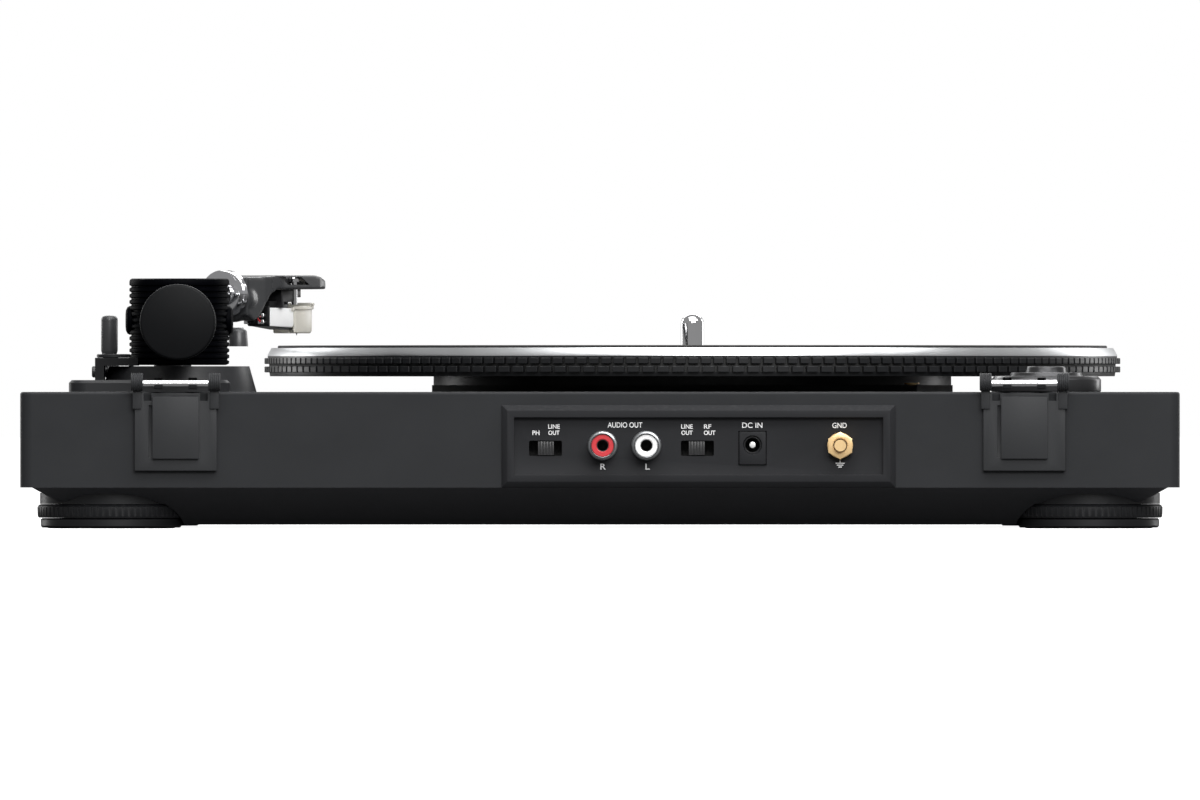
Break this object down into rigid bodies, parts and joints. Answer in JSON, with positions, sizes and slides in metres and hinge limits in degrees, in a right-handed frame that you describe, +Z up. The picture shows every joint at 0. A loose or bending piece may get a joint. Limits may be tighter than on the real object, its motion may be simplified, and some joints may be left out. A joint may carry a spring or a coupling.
{
  "type": "turntable record player",
  "caption": "Belt-drive record player with an S-shaped tonearm, a strobe-edged platter, rear audio sockets and adjustable feet.",
  "frame": {"origin": "bottom centre of the whole object, on the surface it stands on", "axes": "+Z up, +X right seen from the front, +Y to the rear where the sockets are"},
  "size_m": [0.4, 0.358, 0.09],
  "materials": {
    "black_satin": "satin",
    "pan_black": "matte",
    "rubber": "matte",
    "steel": "brushed",
    "chrome": "polished",
    "platter_paint": "satin",
    "black_plastic": "satin",
    "gloss_black": "gloss",
    "red_plastic": "gloss",
    "white_plastic": "gloss",
    "brass": "satin",
    "pcb": "satin",
    "dark_metal": "satin",
    "adapter_metal": "satin",
    "clear": "clear"
  },
  "bodies": {
    "chassis": {"plinth_shell": "black_satin", "bottom_pan": "pan_black", "pan_screws": "steel", "foot_housings": "black_satin", "terminal_frame": "black_plastic", "rca_shells": "steel", "rca_insert_red": "red_plastic", "rca_insert_white": "white_plastic", "dc_socket": "gloss_black", "dc_pin": "chrome", "switch_bodies": "black_plastic", "ground_post": "brass", "hinge_sockets": "black_plastic", "hinge_pins": "steel", "main_board": "pcb", "board_parts": "black_plastic", "wiring": "rubber", "bearing_housing": "brass", "motor_can": "steel", "drive_belt": "rubber", "arm_base": "dark_metal", "cue_bracket": "black_plastic"},
    "platter_group": {"platter": "platter_paint", "strobe_band": "platter_paint", "slip_mat": "rubber", "spindle": "chrome"},
    "pulley": {"motor_pulley": "brass"},
    "speed_knob": {"speed_knob": "dark_metal"},
    "adapter": {"adapter_45": "adapter_metal"},
    "slider_1": {"switch_slider_1": "black_plastic"},
    "slider_2": {"switch_slider_2": "black_plastic"},
    "ground_nut": {"ground_nut": "brass"},
    "leaf_left": {"hinge_leaf_left": "black_plastic"},
    "leaf_right": {"hinge_leaf_right": "black_plastic"},
    "skate_dial": {"anti_skate_dial": "dark_metal"},
    "cue_lever": {"cue_lever": "dark_metal"},
    "lift": {"lift_bar": "black_plastic"},
    "clip": {"arm_clip": "black_plastic"},
    "arm_yaw": {"arm_tower": "gloss_black"},
    "arm_tilt": {"pivot_block": "dark_metal", "arm_tube": "chrome", "counter_stub": "steel", "headshell": "black_satin", "cartridge_body": "black_plastic", "stylus_holder": "white_plastic", "cantilever": "steel"},
    "collar": {"locking_collar": "dark_metal"},
    "guard": {"stylus_guard": "clear"},
    "sleeve": {"weight_sleeve": "steel"},
    "weight": {"counterweight": "dark_metal"},
    "force_dial": {"force_dial": "dark_metal"},
    "ring_1": {"foot_ring_1": "black_satin"},
    "plunger_1": {"foot_plunger_1": "rubber"},
    "ring_2": {"foot_ring_2": "black_satin"},
    "plunger_2": {"foot_plunger_2": "rubber"},
    "ring_3": {"foot_ring_3": "black_satin"},
    "plunger_3": {"foot_plunger_3": "rubber"},
    "ring_4": {"foot_ring_4": "black_satin"},
    "plunger_4": {"foot_plunger_4": "rubber"}
  },
  "joints": [
    {"name": "platter_spin", "type": "hinge", "parent": "chassis", "child": "platter_group", "pos_m": [-0.0323, -0.004, 0.05], "axis": [0, 0, 1], "continuous": true},
    {"name": "pulley_spin", "type": "hinge", "parent": "chassis", "child": "pulley", "pos_m": [-0.1083, 0.078, 0.047], "axis": [0, 0, 1], "continuous": true},
    {"name": "speed_select", "type": "hinge", "parent": "chassis", "child": "speed_knob", "pos_m": [-0.1544, -0.14, 0.05], "axis": [0, 0, 1], "range_deg": [-40, 40]},
    {"name": "adapter_lift", "type": "slide", "parent": "chassis", "child": "adapter", "axis": [0, 0, 1], "range_m": [0, 0.06]},
    {"name": "switch_1_slide", "type": "slide", "parent": "chassis", "child": "slider_1", "axis": [1, 0, 0], "range_m": [-0.0026, 0.0026]},
    {"name": "switch_2_slide", "type": "slide", "parent": "chassis", "child": "slider_2", "axis": [1, 0, 0], "range_m": [-0.0026, 0.0023]},
    {"name": "ground_nut_turn", "type": "hinge", "parent": "chassis", "child": "ground_nut", "pos_m": [-0.0828, 0.1735, 0.0287], "axis": [0, 1, 0], "range_deg": [0, 720]},
    {"name": "hinge_left", "type": "hinge", "parent": "chassis", "child": "leaf_left", "pos_m": [-0.1463, 0.1744, 0.0501], "axis": [-1, 0, 0], "range_deg": [0, 70]},
    {"name": "hinge_right", "type": "hinge", "parent": "chassis", "child": "leaf_right", "pos_m": [0.1463, 0.1744, 0.0501], "axis": [-1, 0, 0], "range_deg": [0, 70]},
    {"name": "anti_skate_turn", "type": "hinge", "parent": "chassis", "child": "skate_dial", "pos_m": [0.1684, 0.119, 0.0597], "axis": [0, 0, 1], "range_deg": [0, 270]},
    {"name": "cue_lever_turn", "type": "hinge", "parent": "chassis", "child": "cue_lever", "pos_m": [0.1706, 0.0795, 0.0542], "axis": [1, 0, 0], "range_deg": [0, 50]},
    {"name": "cue_lift", "type": "slide", "parent": "chassis", "child": "lift", "axis": [0, 0, 1], "range_m": [0, 0.0036]},
    {"name": "arm_clip_turn", "type": "hinge", "parent": "chassis", "child": "clip", "pos_m": [0.155, 0.03, 0.0855], "axis": [0, 0, 1], "range_deg": [-90, 0]},
    {"name": "tonearm_swing", "type": "hinge", "parent": "chassis", "child": "arm_yaw", "pos_m": [0.1458, 0.107, 0.07], "axis": [0, 0, -1], "range_deg": [0, 34]},
    {"name": "tonearm_tilt", "type": "hinge", "parent": "arm_yaw", "child": "arm_tilt", "pos_m": [0.1458, 0.107, 0.072], "axis": [-1, 0, 0], "range_deg": [-0.5, 5]},
    {"name": "collar_turn", "type": "hinge", "parent": "arm_tilt", "child": "collar", "pos_m": [0.1309, -0.0773, 0.0817], "axis": [-0.5446, -0.8387, 0], "range_deg": [0, 90]},
    {"name": "guard_turn", "type": "hinge", "parent": "arm_tilt", "child": "guard", "pos_m": [0.10563, -0.11621, 0.0781], "axis": [-0.8387, 0.5446, 0], "range_deg": [0, 80]},
    {"name": "weight_travel", "type": "slide", "parent": "arm_tilt", "child": "sleeve", "axis": [0, 1, 0], "range_m": [-0.006, 0.004]},
    {"name": "weight_turn", "type": "hinge", "parent": "sleeve", "child": "weight", "pos_m": [0.1458, 0.146, 0.0713], "axis": [0, 1, 0], "range_deg": [-720, 480]},
    {"name": "force_dial_turn", "type": "hinge", "parent": "sleeve", "child": "force_dial", "pos_m": [0.1458, 0.1328, 0.0713], "axis": [0, 1, 0], "range_deg": [-180, 180]},
    {"name": "foot_1_turn", "type": "hinge", "parent": "chassis", "child": "ring_1", "pos_m": [0.169, 0.139, 0.006], "axis": [0, 0, 1], "range_deg": [0, 1080]},
    {"name": "foot_1_drop", "type": "slide", "parent": "chassis", "child": "plunger_1", "axis": [0, 0, -1], "range_m": [0, 0.0045]},
    {"name": "foot_2_turn", "type": "hinge", "parent": "chassis", "child": "ring_2", "pos_m": [-0.169, 0.139, 0.006], "axis": [0, 0, 1], "range_deg": [0, 1080]},
    {"name": "foot_2_drop", "type": "slide", "parent": "chassis", "child": "plunger_2", "axis": [0, 0, -1], "range_m": [0, 0.0045]},
    {"name": "foot_3_turn", "type": "hinge", "parent": "chassis", "child": "ring_3", "pos_m": [0.164, -0.147, 0.006], "axis": [0, 0, 1], "range_deg": [0, 1080]},
    {"name": "foot_3_drop", "type": "slide", "parent": "chassis", "child": "plunger_3", "axis": [0, 0, -1], "range_m": [0, 0.0045]},
    {"name": "foot_4_turn", "type": "hinge", "parent": "chassis", "child": "ring_4", "pos_m": [-0.164, -0.147, 0.006], "axis": [0, 0, 1], "range_deg": [0, 1080]},
    {"name": "foot_4_drop", "type": "slide", "parent": "chassis", "child": "plunger_4", "axis": [0, 0, -1], "range_m": [0, 0.0045]}
  ],
  "couplings": [
    {"joint": "pulley_spin", "follows": "platter_spin", "ratio": 50.444},
    {"joint": "cue_lift", "follows": "cue_lever_turn", "m_per_rad": 0.004125},
    {"joint": "weight_travel", "follows": "weight_turn", "m_per_rad": 0.00047746},
    {"joint": "foot_1_drop", "follows": "foot_1_turn", "m_per_rad": 0.00023873},
    {"joint": "foot_2_drop", "follows": "foot_2_turn", "m_per_rad": 0.00023873},
    {"joint": "foot_3_drop", "follows": "foot_3_turn", "m_per_rad": 0.00023873},
    {"joint": "foot_4_drop", "follows": "foot_4_turn", "m_per_rad": 0.00023873}
  ]
}
